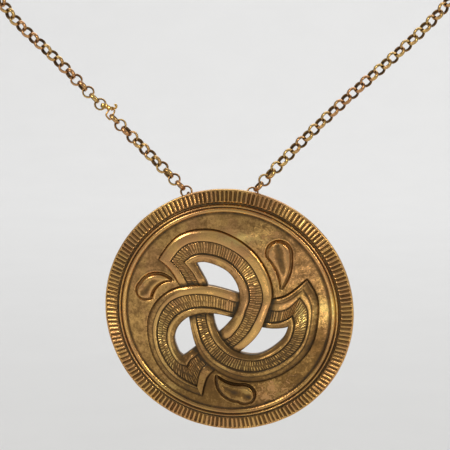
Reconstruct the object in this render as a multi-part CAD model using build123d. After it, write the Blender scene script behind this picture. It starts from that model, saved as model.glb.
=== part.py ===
"""Bronze necklace: a pierced, domed medallion that swings from a belcher chain with a wire hook clasp.

The origin is the nape, where the chain rests on the back of the neck. +Z is up, +X is to the wearer's left
and the medallion's face looks along -Y. Sizes are in millimetres and degrees.
"""
from build123d import *

import math
import os

import numpy as np

os.makedirs("parts", exist_ok=True)

# Medallion: the round plate, seen lying on its back with its face up
disc_radius = 37.5
rim_edge_height = 1.2
rim_edge_width = 1.1
rim_shoulder_height = 1.45
rib_band_width = 2.65
rib_crest_height = 2.1
rim_groove_width = 0.55
rim_groove_height = 1.55
ring_foot_width = 0.45
ring_crown_width = 0.7
ring_height = 2.45
ring_inner_width = 0.8
field_edge_height = 2.2
dome_rise = 1.6
plate_thickness = 1.35
back_flat_width = 2.5

# Ribs cut across the rim
rib_count = 170
rib_notch_width = 0.62
rib_notch_depth = 0.34

# Interlaced knot: relief above the field
band_relief = 0.45
border_relief = 0.9
foot_share = 0.06
border_share = 0.28
crossing_share = 0.03

# Knot stations as shares of the disc's radius. Each arm starts at the mitred corner where the arm
# before it ends. Columns: outer edge x, outer edge y, inner edge x, inner edge y
corner_upper_left = (-0.545, 0.423, -0.243, 0.409)
corner_right = (0.636, 0.289, 0.482, -0.102)
corner_lower_left = (-0.221, -0.711, -0.366, -0.369)
arm_over_top = [
    corner_upper_left,
    (-0.394, 0.611, -0.213, 0.414),
    (-0.160, 0.677, -0.150, 0.413),
    (0.030, 0.633, -0.026, 0.367),
    (0.206, 0.512, 0.053, 0.293),
    (0.331, 0.315, 0.093, 0.202),
    (0.359, 0.139, 0.099, 0.115),
    (0.325, 0.020, 0.083, 0.043),
    (0.272, -0.122, 0.038, -0.039),
    (0.167, -0.258, -0.057, -0.145),
    (-0.110, -0.478, -0.268, -0.294),
    (-0.178, -0.556, -0.331, -0.345),
    corner_lower_left,
]
arm_up_left = [
    corner_lower_left,
    (-0.389, -0.642, -0.391, -0.349),
    (-0.574, -0.454, -0.418, -0.288),
    (-0.644, -0.227, -0.429, -0.210),
    (-0.632, -0.046, -0.400, -0.130),
    (-0.499, 0.140, -0.325, -0.050),
    (-0.232, 0.228, -0.185, -0.004),
    (-0.015, 0.198, -0.020, -0.018),
    (0.372, 0.127, 0.340, -0.117),
    (0.492, 0.166, 0.439, -0.113),
    corner_right,
]
arm_round_bottom = [
    corner_right,
    (0.711, 0.149, 0.475, -0.125),
    (0.716, -0.027, 0.464, -0.155),
    (0.679, -0.219, 0.434, -0.204),
    (0.541, -0.418, 0.345, -0.284),
    (0.327, -0.545, 0.235, -0.336),
    (0.104, -0.567, 0.132, -0.333),
    (-0.115, -0.470, 0.015, -0.280),
    (-0.248, -0.310, -0.072, -0.160),
    (-0.297, -0.120, -0.104, -0.067),
    (-0.395, 0.257, -0.158, 0.246),
    (-0.471, 0.365, -0.195, 0.319),
    corner_upper_left,
]

# Raised drops, as shares of the disc's radius. Columns: tip, outer side, outer shoulder, head, inner
# shoulder, inner side
drop_relief = 0.75
drop_groove_width = 0.5
drop_groove_depth = 0.3
drops = [
    [(-0.440, 0.257), (-0.580, 0.307), (-0.702, 0.222), (-0.690, 0.097), (-0.615, 0.102), (-0.550, 0.217)],
    [(0.430, 0.207), (0.503, 0.355), (0.512, 0.484), (0.401, 0.594), (0.324, 0.465), (0.398, 0.356)],
    [(-0.097, -0.536), (-0.054, -0.693), (0.071, -0.752), (0.205, -0.668), (0.121, -0.603), (0.002, -0.592)],
]

# Two wire loops soldered behind the upper edge; the medallion swings about the line through both
loop_bore_radius = 1.0
loop_wire = 0.8
solder_overlap = 0.25
loop_inset = 3.5
left_loop_x = -11.9
right_loop_x = 6.6
end_link_lift = 0.15
end_link_side = 0.65

# Belcher link: a round ring of half-round strip
link_bore_radius = 1.4
link_wall = 0.43
link_width = 1.3
link_shoulder = 0.18
link_inner_flat = 0.44
link_outer_flat = 0.8
link_pitch = 2.6
lower_link_count = 13

# Where the necklace hangs, measured from the nape
swing_axis_y = -110.0
swing_axis_z = -106.0
front_lean = 12.0

# Clasp: the ring link is the last one of the long chain. Places in the leaning plane of the front,
# measured from the ring link's centre
ring_link_x = -39.4
ring_link_rise = 27.3
hook_wire = 0.5
hook_eye_bore_radius = 0.84
hook_eye_x = 1.33
hook_eye_rise = -0.88
hook_route = [
    (3.10, -0.58, -1.15),
    (3.55, -0.44, -1.50),
    (3.62, 0.44, -1.50),
    (4.05, 0.62, -1.15),
    (4.70, 0.55, -0.85),
    (4.70, 0.50, -0.20),
    (4.10, 0.45, -0.05),
]
clasp_ring_wire = 0.42
clasp_ring_points = [
    (3.58, -0.88),
    (4.18, -1.32),
    (4.34, -2.15),
    (4.07, -2.95),
    (3.70, -3.80),
    (3.07, -4.50),
    (2.42, -4.02),
    (1.88, -3.15),
    (2.34, -2.20),
    (2.96, -1.35),
]
lower_chain_top = (4.45, -4.36)

# Route of the long chain from the right loop round the neck to the ring link: a few chosen points
neck_route = [
    (9.4, swing_axis_y + 0.95, swing_axis_z + 4.1),
    (36.1, swing_axis_y + 6.6, swing_axis_z + 31.1),
    (60.8, swing_axis_y + 11.6, swing_axis_z + 54.6),
    (73.5, -78.0, -31.5),
    (69.0, -44.0, -15.0),
    (43.0, -13.0, -3.5),
    (0.0, 0.0, 0.0),
    (-44.0, -13.0, -3.5),
    (-71.0, -44.0, -15.0),
    (-77.5, -76.0, -30.0),
    (-68.6, swing_axis_y + 11.4, swing_axis_z + 53.7),
    (-56.0, swing_axis_y + 8.98, swing_axis_z + 42.1),
    (-45.0, swing_axis_y + 6.8, swing_axis_z + 31.9),
]

# Turn of the links about the chain, in degrees from lying flat to the viewer
right_end_turn = 10.0
slanted_turn = 45.0
end_turn_links = 5
arm_links = 30
clasp_turn_links = 8


field_radius = (
    disc_radius - rim_edge_width - rib_band_width - rim_groove_width
    - ring_foot_width - ring_crown_width - ring_inner_width
)
dome_radius = (field_radius ** 2 + dome_rise ** 2) / (2 * dome_rise)
loop_height = disc_radius - loop_inset
swing_axis_depth = loop_bore_radius + loop_wire - solder_overlap
prism_height = 3 * (field_edge_height + dome_rise)


def under_dome(shift):
    """Everything below a copy of the field that is raised by a shift."""
    centre_height = field_edge_height + dome_rise - dome_radius
    return Location((0, 0, centre_height + shift)) * Rotation(90, 90, 0) * Sphere(dome_radius)


def dome_layer(bottom, top):
    """The layer between two copies of the field, raised by bottom and by top."""
    return under_dome(top) - under_dome(bottom)


def plain_disc():
    """The turned plate: rim, groove and raised ring as one outline, with a hollow back."""
    shoulder = disc_radius - rim_edge_width
    rib_inner = shoulder - rib_band_width
    groove = rib_inner - rim_groove_width
    ring_outer = groove - ring_foot_width
    ring_inner = ring_outer - ring_crown_width
    back_edge = disc_radius - back_flat_width
    outline = [
        (field_radius, field_edge_height),
        (ring_inner, ring_height),
        (ring_outer, ring_height),
        (groove, rim_groove_height),
        (rib_inner, rib_crest_height),
        (shoulder, rim_shoulder_height),
        (disc_radius, rim_edge_height),
        (disc_radius, 0),
        (back_edge, 0),
        (field_radius, field_edge_height - plate_thickness),
    ]
    section = make_face(Polyline(*[(r, 0, h) for r, h in outline], close=True))
    plate = extrude(Circle(field_radius), prism_height) & dome_layer(-plate_thickness, 0)
    return revolve(section, Axis.Z) + plate


def rib_notches():
    """Tapered wedges that cut the rim into ribs, each lying along the slope of the rib band."""
    shoulder = disc_radius - rim_edge_width
    rib_inner = shoulder - rib_band_width
    slope = (rim_shoulder_height - rib_crest_height) / rib_band_width
    inner_side, outer_side = rib_inner + rim_groove_width, shoulder + rim_edge_width / 2

    def wedge(radius):
        surface = rib_crest_height + slope * (radius - rib_inner)
        half = rib_notch_width / 2
        above = rib_notch_depth
        return Polyline(
            (radius, -2 * half, surface + above),
            (radius, 2 * half, surface + above),
            (radius, 0, surface - rib_notch_depth),
            close=True,
        )

    notch = Solid.make_loft([Wire(wedge(inner_side).edges()), Wire(wedge(outer_side).edges())])
    return [loc * notch for loc in PolarLocations(0, rib_count)]


def edge_points(stations, share):
    """Points of an arm at a share of its width: 0 is the outer edge and 1 is the inner edge."""
    return [
        (disc_radius * (ox + share * (ix - ox)), disc_radius * (oy + share * (iy - oy)))
        for ox, oy, ix, iy in stations
    ]


def arm_face(stations, first_share, last_share):
    """The flat strip of an arm between two shares of its width."""
    first = edge_points(stations, first_share)
    last = edge_points(stations, last_share)
    return make_face([
        Spline(*first),
        Line(first[-1], last[-1]),
        Spline(*reversed(last)),
        Line(last[0], first[0]),
    ])


def raised(face, bottom, top):
    """A flat face carried up into the layer between two copies of the field."""
    return extrude(face, prism_height) & dome_layer(bottom, top)


def drop_face(points):
    """The outline of a drop: two sides that meet in its tip, and a round head."""
    tip, outer, outer_shoulder, head, inner_shoulder, inner = [
        (disc_radius * x, disc_radius * y) for x, y in points
    ]
    return make_face([
        ThreePointArc(tip, outer, outer_shoulder),
        ThreePointArc(outer_shoulder, head, inner_shoulder),
        ThreePointArc(inner_shoulder, inner, tip),
    ])


def soldered_loop(x):
    """A wire loop behind the upper edge, standing across the swing axis."""
    ring_radius = loop_bore_radius + loop_wire / 2
    plane = Plane(origin=(x, loop_height, -swing_axis_depth), z_dir=(1, 0, 0))
    return plane * Torus(ring_radius, loop_wire / 2)


def flat_medallion():
    """The whole medallion lying on its back, its centre over the origin."""
    arms = [arm_over_top, arm_up_left, arm_round_bottom]
    arm_faces = [arm_face(arm, 0, 1) for arm in arms]
    knot = arm_faces[0] + arm_faces[1] + arm_faces[2]
    openings = [Face(wire) for wire in knot.faces()[0].inner_wires()]

    # Each arm's borders stop where it passes under the arm before it in this list
    borders = Sketch()
    for index, arm in enumerate(arms):
        over = arm_face(arms[index - 1], -crossing_share, 1 + crossing_share)
        borders += arm_face(arm, foot_share, border_share) - over
        borders += arm_face(arm, 1 - border_share, 1 - foot_share) - over

    body = plain_disc()
    drop_faces = [drop_face(points) for points in drops]
    for face in drop_faces:
        body -= raised(offset(face, drop_groove_width), -drop_groove_depth, border_relief)
    for opening in openings:
        body -= extrude(opening, prism_height, both=True)
    body += raised(knot, -plate_thickness / 2, band_relief)
    body += raised(borders, 0, border_relief)
    for face in drop_faces:
        body += raised(face, -plate_thickness / 2, drop_relief)
    for x in (left_loop_x, right_loop_x):
        body += soldered_loop(x)
    return body - rib_notches()


def hanging_medallion():
    """The medallion stood up and hung from its loops, leaning so that its weight is under the axis."""
    flat = flat_medallion()
    standing = Location((0, swing_axis_y, swing_axis_z)) * Rotation(90, 0, 0) * Location(
        (0, -loop_height, swing_axis_depth)
    ) * flat
    weight = standing.center(CenterOf.MASS)
    lean = math.degrees(math.atan2(weight.Y - swing_axis_y, swing_axis_z - weight.Z))
    swing_axis = Axis((0, swing_axis_y, swing_axis_z), (1, 0, 0))
    return standing.rotate(swing_axis, -lean), lean


def link_ring():
    """One belcher link about Z: a six-sided strip, flat inside and crowned outside."""
    inner, outer = link_bore_radius, link_bore_radius + link_wall
    section = make_face(Polyline(
        (inner, 0, -link_inner_flat / 2),
        (inner + link_shoulder, 0, -link_width / 2),
        (outer, 0, -link_outer_flat / 2),
        (outer, 0, link_outer_flat / 2),
        (inner + link_shoulder, 0, link_width / 2),
        (inner, 0, link_inner_flat / 2),
        close=True,
    ))
    return revolve(section, Axis.Z)


def unit(vector):
    return vector / np.linalg.norm(vector)


def chain_places(centres, turns_from_view):
    """Planes for the links: each one turned a quarter from its neighbour about the chain's line.

    turns_from_view is called with the links' number and with how far the frame that is carried along
    the chain has turned away from the viewer by its end.
    """
    centres = np.array(centres)
    lines = [unit(d) for d in np.gradient(centres, axis=0)]
    lean = math.radians(front_lean)
    front = np.array([0.0, -math.cos(lean), math.sin(lean)])
    normal = front
    normals = []
    for line in lines:
        normal = unit(normal - line * (normal @ line))
        normals.append(normal)
    viewer = unit(front - lines[-1] * (front @ lines[-1]))
    drift = math.degrees(math.atan2(lines[-1] @ np.cross(normals[-1], viewer), normals[-1] @ viewer))
    turns = turns_from_view(len(centres), drift)
    planes = []
    for index, (centre, line, normal) in enumerate(zip(centres, lines, normals)):
        angle = math.radians(turns[index] + 90 * (index % 2))
        axis = normal * math.cos(angle) + np.cross(line, normal) * math.sin(angle)
        planes.append(Plane(origin=tuple(centre), x_dir=tuple(line), z_dir=tuple(axis)))
    return planes


def long_chain_turns(count, drift):
    """Turns of the long chain: slanted along the arms, and flat to the viewer at the clasp."""
    end = drift - 90 * ((count - 1) % 2)
    end += 180 * round((slanted_turn - end) / 180)
    slanted_left = end + slanted_turn * (1 if end < slanted_turn else -1)
    return np.interp(
        range(count),
        [0, end_turn_links, arm_links, count - arm_links, count - clasp_turn_links, count - 1],
        [right_end_turn, slanted_turn, slanted_turn, slanted_left, slanted_left, end],
    )


def lower_chain_turns(count, drift):
    """Turns of the short chain: flat to the viewer at both ends and slanted at its middle."""
    middle = (count - 1) // 2
    return np.interp(range(count), [0, middle, count - 1], [0, slanted_turn, 90])


def front_place(x, depth, rise):
    """A point of the leaning front plane, from its offset beside, behind and above the swing axis."""
    lean = math.radians(front_lean)
    y = swing_axis_y + rise * math.sin(lean) + depth * math.cos(lean)
    z = swing_axis_z + rise * math.cos(lean) - depth * math.sin(lean)
    return (x, y, z)


def evenly_along(points, pitch):
    """Link centres at even steps, close to the pitch, along a smooth line through the points."""
    route = Spline(*points)
    steps = round(route.length / pitch)
    return [tuple(route.position_at(i / steps)) for i in range(steps + 1)]


def end_link_centre(x):
    """Centre of a link that hangs in one of the medallion's loops."""
    return front_place(x, 0, link_bore_radius + link_wall / 2 + end_link_lift)


def long_chain():
    start = end_link_centre(right_loop_x + end_link_side)
    end = front_place(ring_link_x, 0, ring_link_rise)
    centres = evenly_along([start, *neck_route, end], link_pitch)
    ring = link_ring()
    return [plane * ring for plane in chain_places(centres, long_chain_turns)]


def lower_chain():
    start = end_link_centre(left_loop_x - end_link_side)
    end = front_place(ring_link_x + lower_chain_top[0], 0, ring_link_rise + lower_chain_top[1])
    centres = [tuple(place) for place in np.linspace(start, end, lower_link_count)]
    ring = link_ring()
    return [plane * ring for plane in chain_places(centres, lower_chain_turns)]


def clasp_frame():
    """The leaning front plane at the ring link: X beside, Y behind, Z up."""
    return Location(front_place(ring_link_x, 0, ring_link_rise)) * Rotation(-front_lean, 0, 0)


def hook():
    """The wire hook: an eye round the ring link, a shank, a bend round the clasp ring and a curl."""
    first = hook_route[0]
    along = unit(np.array([first[0] - hook_eye_x, first[1], first[2] - hook_eye_rise]))
    reach = hook_eye_bore_radius + hook_wire / 2
    eye_centre = np.array([hook_eye_x, 0, hook_eye_rise])
    eye_plane = Plane(
        origin=tuple(eye_centre), x_dir=tuple(along), z_dir=tuple(unit(np.cross(along, [0.0, 1.0, 0.0])))
    )
    eye = eye_plane * Torus(reach, hook_wire / 2)
    start = tuple(eye_centre + along * reach)
    path = Spline(start, *hook_route)
    section = Plane(origin=start, z_dir=path % 0) * Circle(hook_wire / 2)
    wire = sweep(section, path)
    return clasp_frame() * (eye + wire)


def clasp_ring():
    """The thin ring of the clasp, bent to a rounded triangle with one blunt corner."""
    path = Spline(*[(x, 0, z) for x, z in clasp_ring_points], periodic=True)
    section = Plane(origin=path @ 0, z_dir=path % 0) * Circle(clasp_ring_wire / 2)
    return clasp_frame() * sweep(section, path)


def save(shape, name):
    """Write one sub-part's solids to its own file."""
    solids = Compound(children=[solid for piece in shape for solid in piece.solids()])
    solids.label = name
    export_step(solids, f"parts/{name}.step")


medallion, lean_angle = hanging_medallion()
main_links = long_chain()
lower_links = lower_chain()
save([medallion], "medallion")
save(main_links, "chain_main")
save(lower_links, "chain_lower")
save([hook()], "clasp_hook")
save([clasp_ring()], "clasp_ring")
print("lean", round(lean_angle, 2), "links", len(main_links), len(lower_links))
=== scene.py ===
"""Looks of the bronze necklace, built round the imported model.

Lengths are millimetres in the tables and metres in Blender. The medallion is described lying on its back:
x to the right, y up the disc and h above its back. One function stands it up and hangs it from its loops.
"""
import math

import bpy
import numpy as np
from mathutils import Matrix, Vector


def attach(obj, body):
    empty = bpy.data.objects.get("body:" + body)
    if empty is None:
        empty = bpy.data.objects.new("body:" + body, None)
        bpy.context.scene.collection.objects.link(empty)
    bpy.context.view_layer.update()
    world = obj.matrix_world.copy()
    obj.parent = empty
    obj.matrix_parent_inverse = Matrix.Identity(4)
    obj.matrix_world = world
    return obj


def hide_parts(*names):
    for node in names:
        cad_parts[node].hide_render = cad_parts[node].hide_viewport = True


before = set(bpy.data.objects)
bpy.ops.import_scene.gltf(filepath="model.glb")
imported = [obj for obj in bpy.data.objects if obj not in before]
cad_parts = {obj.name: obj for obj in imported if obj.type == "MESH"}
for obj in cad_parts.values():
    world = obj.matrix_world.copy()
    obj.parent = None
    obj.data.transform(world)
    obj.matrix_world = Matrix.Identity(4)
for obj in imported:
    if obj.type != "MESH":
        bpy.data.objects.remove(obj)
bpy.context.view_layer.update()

# A millimetre in metres, and numbers that stand for very far and for next to nothing
MM = 0.001
far_away = 1e9
tiny = 1e-12

# Disc
disc_radius = 37.5
field_radius = 31.25
field_edge_height = 2.2
dome_rise = 1.6
plate_thickness = 1.35
back_patina = 0.35

# Rim: its outline as radius and height, and how finely the outline's corners and sides are stepped
rim_outline = [
    (30.9, 0.95), (30.7, 2.12), (30.85, 2.38), (31.2, 2.72), (31.6, 2.78), (31.95, 2.6), (32.15, 2.26),
    (32.4, 2.26), (32.6, 2.68), (32.85, 2.7), (33.08, 2.2), (33.2, 1.7), (33.5, 1.56), (33.85, 1.9),
    (34.15, 2.02), (36.85, 1.46), (37.05, 1.36), (37.34, 1.36), (37.48, 1.14), (37.48, 0.25),
    (37.3, 0.02), (31.6, 0.78),
]
rim_rounding = 0.16
rim_corner_steps = 3
rim_corner_share_most = 0.4
rim_side_step = 0.6
rim_side_steps_most = 4
rim_columns = 1360
rim_front_height = 1.3
rim_edge_radii = (36.6, 37.4)
rim_edge_drift = 0.05
rim_height_drift = 0.03

# Ribs: where they start and end, how soon they fade there, and the shares of the way from a crest to the
# middle of a groove between which the groove's side falls
rib_count = 170
rib_depth = 0.48
rib_first_radius = 33.6
rib_last_radius = 37.15
rib_first_fade = 0.5
rib_last_fade = 0.35
rib_side_shares = (0.14, 0.86)
rib_pitch_drift = 0.12
rib_depth_drift = 0.25

# Drifts round the rim: counts of their waves, and seed
rib_pitch_waves = ([7, 23, 61], 3)
rib_depth_waves = ([5, 31, 47], 4)
rim_height_waves = ([3, 11, 29], 5)
rim_edge_waves = ([2, 5, 13, 37], 6)

# Patina of the rim: dark lines as radius, half width and strength, then the grooves and their feet
rim_dark_lines = [(33.45, 0.36, 0.85), (37.12, 0.08, 0.4), (32.28, 0.18, 0.95), (30.62, 0.2, 0.9)]
rib_groove_patina = 0.62
rib_foot_patina = 0.1
rib_foot_share = 0.62
rib_foot_width = 0.14

# Field: where its hidden inner edge runs under the knot, in shares of the disc's radius, every ten degrees
field_inner_shares = [
    0.45, 0.33, 0.26, 0.255, 0.298, 0.334, 0.372, 0.416, 0.458, 0.502, 0.546, 0.58,
    0.598, 0.52, 0.40, 0.294, 0.30, 0.384, 0.464, 0.526, 0.572, 0.604, 0.628, 0.60,
    0.52, 0.41, 0.336, 0.36, 0.43, 0.484, 0.516, 0.54, 0.562, 0.584, 0.60, 0.56,
]
field_outer_radius = 31.6
field_columns = 720
field_rows = 84
field_back_rows = 12

# Counts of points on the outlines and middle lines that distances are taken from, and of the knots by which
# a closed spline runs on past its ends
drop_outline_points = 40
arm_outline_points = 70
arm_middle_points = 160
spline_overlap = 3

# Foot of the raised ring
ring_foot_radius = 30.55
ring_foot_width = 0.3
ring_foot_depth = 0.1
ring_foot_patina = 0.5

# Unevenness of the beaten field: wavers along slanting lines, as their weights across and up the disc,
# their counts and their seed
beaten_height = 0.04
beaten_fade = 3
beaten_wavers = [(0.55, 0.2, [1.0, 1.9, 2.7], 8), (-0.15, 0.6, [1.0, 2.2, 3.1], 9)]

# Knot stations as shares of the disc's radius: outer edge x and y, inner edge x and y. The last two columns
# are the shares of the width where the channel between the borders starts and ends
corner_upper_left = (-0.545, 0.423, -0.243, 0.409, 0.324, 0.683)
corner_right = (0.636, 0.289, 0.482, -0.102, 0.36, 0.76)
corner_lower_left = (-0.221, -0.711, -0.366, -0.369, 0.245, 0.76)
arm_over_top = [
    corner_upper_left,
    (-0.394, 0.611, -0.213, 0.414, 0.327, 0.72),
    (-0.160, 0.677, -0.150, 0.413, 0.344, 0.735),
    (0.030, 0.633, -0.026, 0.367, 0.344, 0.712),
    (0.206, 0.512, 0.053, 0.293, 0.32, 0.73),
    (0.331, 0.315, 0.093, 0.202, 0.31, 0.70),
    (0.359, 0.139, 0.099, 0.115, 0.27, 0.69),
    (0.325, 0.020, 0.083, 0.043, 0.27, 0.72),
    (0.272, -0.122, 0.038, -0.039, 0.301, 0.67),
    (0.167, -0.258, -0.057, -0.145, 0.28, 0.62),
    (-0.110, -0.478, -0.268, -0.294, 0.296, 0.734),
    (-0.178, -0.556, -0.331, -0.345, 0.30, 0.78),
    corner_lower_left,
]
arm_up_left = [
    corner_lower_left,
    (-0.389, -0.642, -0.391, -0.349, 0.30, 0.70),
    (-0.574, -0.454, -0.418, -0.288, 0.34, 0.72),
    (-0.644, -0.227, -0.429, -0.210, 0.34, 0.72),
    (-0.632, -0.046, -0.400, -0.130, 0.33, 0.71),
    (-0.499, 0.140, -0.325, -0.050, 0.27, 0.745),
    (-0.232, 0.228, -0.185, -0.004, 0.293, 0.766),
    (-0.015, 0.198, -0.020, -0.018, 0.328, 0.801),
    (0.372, 0.127, 0.340, -0.117, 0.381, 0.793),
    (0.492, 0.166, 0.439, -0.113, 0.431, 0.768),
    corner_right,
]
arm_round_bottom = [
    corner_right,
    (0.711, 0.149, 0.475, -0.125, 0.32, 0.763),
    (0.716, -0.027, 0.464, -0.155, 0.295, 0.754),
    (0.679, -0.219, 0.434, -0.204, 0.309, 0.732),
    (0.541, -0.418, 0.345, -0.284, 0.34, 0.75),
    (0.327, -0.545, 0.235, -0.336, 0.36, 0.79),
    (0.104, -0.567, 0.132, -0.333, 0.36, 0.80),
    (-0.115, -0.470, 0.015, -0.280, 0.33, 0.77),
    (-0.248, -0.310, -0.072, -0.160, 0.30, 0.72),
    (-0.297, -0.120, -0.104, -0.067, 0.29, 0.70),
    (-0.395, 0.257, -0.158, 0.246, 0.304, 0.694),
    (-0.471, 0.365, -0.195, 0.319, 0.321, 0.737),
    corner_upper_left,
]
arms = {"over_top": arm_over_top, "up_left": arm_up_left, "round_bottom": arm_round_bottom}

# Borders of the arms, as shares of an arm's width. A folded border has the broad bevel. Folds, and how far
# the strokes split into two rows, are given at even steps along each arm
outer_bevel = 0.07
folded_bevel = 0.19
inner_bevel = 0.14
bevel_foot_share = 0.22
bevel_foot_height = 0.62
arm_folds = {
    "over_top": [0.0, 0.0, 0.0, 0.0, 0.0, 0.0, 0.0],
    "up_left": [1.0, 1.0, 1.0, 0.1, 0.0, 0.4, 1.0],
    "round_bottom": [1.0, 1.0, 1.0, 1.0, 0.6, 0.0, 0.0],
}
arm_row_splits = {
    "over_top": [0.9, 0.1, 0.0, 0.5, 1.0, 1.0, 0.6],
    "up_left": [1.0, 1.0, 1.0, 0.6, 0.0, 0.0, 0.1],
    "round_bottom": [0.3, 0.7, 1.0, 0.2, 0.6, 1.0, 1.0],
}
band_stations = 620
border_height = 0.95
outer_crown = 0.06
inner_crown = 0.24
crown_sink = 0.06
crown_least_height = 0.2
channel_depth = 0.42
channel_wall = 0.4
share_below_field = 0.5
incised_depth = 0.22
incised_half_width = 0.14
incised_line_width = 0.3
fold_line_share = 0.5

# Where the columns of an arm's section stand: over the outer bevel, about both incised lines, in widths of a
# line, and over the inner bevel, with the counts of columns between them
outer_bevel_steps = [0.0, 0.04, 0.15, 0.45, 0.85]
first_line_steps = [-0.55, -0.25, 0.0, 0.3, 0.65]
last_line_steps = [-0.65, -0.3, 0.0, 0.25, 0.55]
inner_bevel_steps = [0.65, 0.35, 0.15, 0.04, 0.0]
outer_border_columns = 7
channel_columns = 20
inner_border_columns = 6
back_columns = 9
wall_steps = (0.33, 0.66)
layer_gap = 0.02

# Strokes punched across the channels
stroke_height = 0.24
stroke_pitch = 0.76
stroke_drift = 0.2
stroke_force = (0.4, 1.25)
stroke_sharpness = 1.6
stroke_slant = 0.35
row_spread = 0.55
row_shift = 0.5
row_gap_width = 0.09
row_split_least = 0.3
second_row_offset = 9
stroke_ends = ((0.03, 0.14), (0.86, 0.97))
stroke_seed = 20
stroke_spares = 4

# Crossings: shares along an arm, and distances from the middle of the other arm in its half widths
under_dip = 0.72
over_lift = 0.3
dip_along = ((0.42, 0.48), (0.965, 0.985))
dip_reach = (0.95, 1.55)
lift_along = ((0.12, 0.2), (0.6, 0.66))
lift_reach = (0.5, 1.5)
shadow_reach = ((0.8, 1.0), (1.0, 1.5))
crossing_margin = 12

# Patina of the arms, with painted shade on the folded borders and their bevels and a painted shadow at the
# crossings
incised_patina = 0.9
fold_line_patina = 0.7
fold_painted_shade = 0.16
fold_bevel_painted_shade = 0.2
channel_patina = 0.57
stroke_polish = 0.95
outer_border_patina = 0.12
inner_border_patina = 0.28
crossing_painted_shadow = 0.8
outer_foot_patina = 0.72
outer_foot_share = 0.4
inner_foot_patina = 0.6
inner_foot_share = 0.6
inner_wall_patina = 0.55
outer_wall_patina = 0.8

# Raised drops, as shares of the disc's radius: tip, outer side, outer shoulder, head, inner shoulder and
# inner side
drops = [
    [(-0.440, 0.257), (-0.580, 0.307), (-0.702, 0.222), (-0.690, 0.097), (-0.615, 0.102), (-0.550, 0.217)],
    [(0.430, 0.207), (0.503, 0.355), (0.512, 0.484), (0.401, 0.594), (0.324, 0.465), (0.398, 0.356)],
    [(-0.097, -0.536), (-0.054, -0.693), (0.071, -0.752), (0.205, -0.668), (0.121, -0.603), (0.002, -0.592)],
]
drop_height = 1.05
drop_length_share = 0.965
drop_inset = 0.2
drop_inset_share_most = 0.25
drop_full_width = 4.5
drop_swell = 0.6
drop_hollow = 0.42
drop_hollow_reach = 0.5
drop_hollow_widths = (2.2, 4.6)
drop_edge_depth = 0.1
drop_foot_depth = 0.8
drop_rows = 110
drop_row_crowding = 0.9
drop_arc_steps = 80
drop_columns = 34
drop_foot_shares = [1.0, 0.66, 0.33, 0.0]
drop_patina = 0.6
drop_patina_reach = 0.45
drop_edge_patina = 0.66

# Moat round each drop with its lip, and trench along the arms
moat_start = 0.15
moat_width = 0.55
moat_depth = 0.4
lip_height = 0.14
lip_width = 0.2
trench_start = 0.1
trench_width = 0.5
trench_depth = 0.22
field_film = 0.3
moat_patina = 0.24
lip_polish = 1.4
trench_patina = 0.36

# Patches of the surface: place across and up the disc, reach across and up, and strength
surface_patches = {
    "beaten": [
        (13.0, 24.0, 7.5, 6.0, 1.0), (24.0, 13.0, 4.0, 8.0, 0.6), (13.0, -24.5, 8.0, 5.5, 1.25),
        (21.0, -17.0, 5.0, 6.0, 0.8), (-8.0, 27.0, 6.0, 4.0, 0.4), (-25.0, -8.0, 3.0, 7.0, 0.4),
        (-20.0, -20.0, 4.0, 4.0, 0.6), (28.4, 1.0, 2.5, 5.0, 0.7),
    ],
    # Bare metal and painted highlights, among them the bright reflection on the field's right side
    "bare_and_highlight": [
        (28.4, 1.2, 2.0, 3.4, 0.8), (22.3, -0.5, 1.6, 4.5, 0.9), (-17.5, -14.0, 3.0, 7.0, 0.55),
        (14.5, -24.0, 3.0, 4.0, 0.25), (4.0, -16.5, 9.0, 1.6, 0.5), (4.9, -24.8, 1.3, 0.9, 0.9),
        (31.8, 2.5, 1.3, 7.0, 0.8), (4.0, 23.0, 6.0, 2.0, 0.7),
        (-20.5, -6.0, 1.4, 5.0, 0.6), (-20.0, -24.5, 7.0, 2.0, 0.5),
    ],
    # Painted shade: patches that darken and brown the lower part of the disc and a few spots
    "painted_shade": [
        (-2.0, -23.0, 25.0, 11.0, 1.0), (27.0, -10.0, 4.5, 7.0, 0.9), (20.0, -20.0, 6.0, 6.0, 0.4),
        (-10.0, -10.0, 4.0, 3.0, 0.4), (20.0, 6.5, 6.0, 1.6, 0.6),
    ],
}
rim_patch_share = 0.4
rim_patch_radii = (33.0, 34.0)

# Loops behind the upper edge
loop_height = 34.0
loop_depth = 1.55
loop_ring_radius = 1.4
loop_wire_radius = 0.4
loop_places = [-11.9, 6.6]
loop_turns = 48
loop_sides = 20
loop_patina = 0.3

# Link of the chain: its six-sided section, as radius, place along the link's axis and recess. The recess on
# the inner side, where the links meet, is patina and painted shade
link_section = [
    (1.37, -0.28, 0.66), (1.6, -0.66, 0.3), (1.9, -0.36, 0.0),
    (1.9, 0.36, 0.0), (1.6, 0.66, 0.3), (1.37, 0.28, 0.66),
]
link_sides = 14
nearly_upright = 0.9

# Clasp: its places in the leaning front plane, as across, behind and up from the middle of the ring link
front_lean = math.radians(12)
ring_link_x = -39.4
ring_link_rise = 27.3
hook_eye = (1.33, 0.0, -0.88)
hook_eye_radius = 1.09
hook_eye_steps = 40
hook_eye_half_height = 0.27
hook_eye_half_thickness = 0.2
hook_eye_broad = 0.5
hook_eye_lift = 0.3
hook_eye_front_slant = 0.4
hook_eye_front_range = (-0.1, 0.9)
hook_eye_patina = 0.15
hook_sides = 14
hook_route = [
    (3.10, -0.58, -1.15), (3.55, -0.44, -1.50), (3.62, 0.44, -1.50), (4.05, 0.62, -1.15),
    (4.70, 0.55, -0.85), (4.70, 0.50, -0.20), (4.10, 0.45, -0.05),
]
hook_steps = 70
hook_start_overlap = 0.1
hook_tip_length = 0.25
hook_tip_blunt = 0.02
hook_upright = (0.0, 0.2, 1.0)
hook_half_heights = [0.85, 0.5, 0.36, 0.3, 0.32, 0.37, 0.38, 0.34]
hook_half_thicknesses = [0.2, 0.22, 0.25, 0.28, 0.3, 0.34, 0.36, 0.32]
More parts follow.
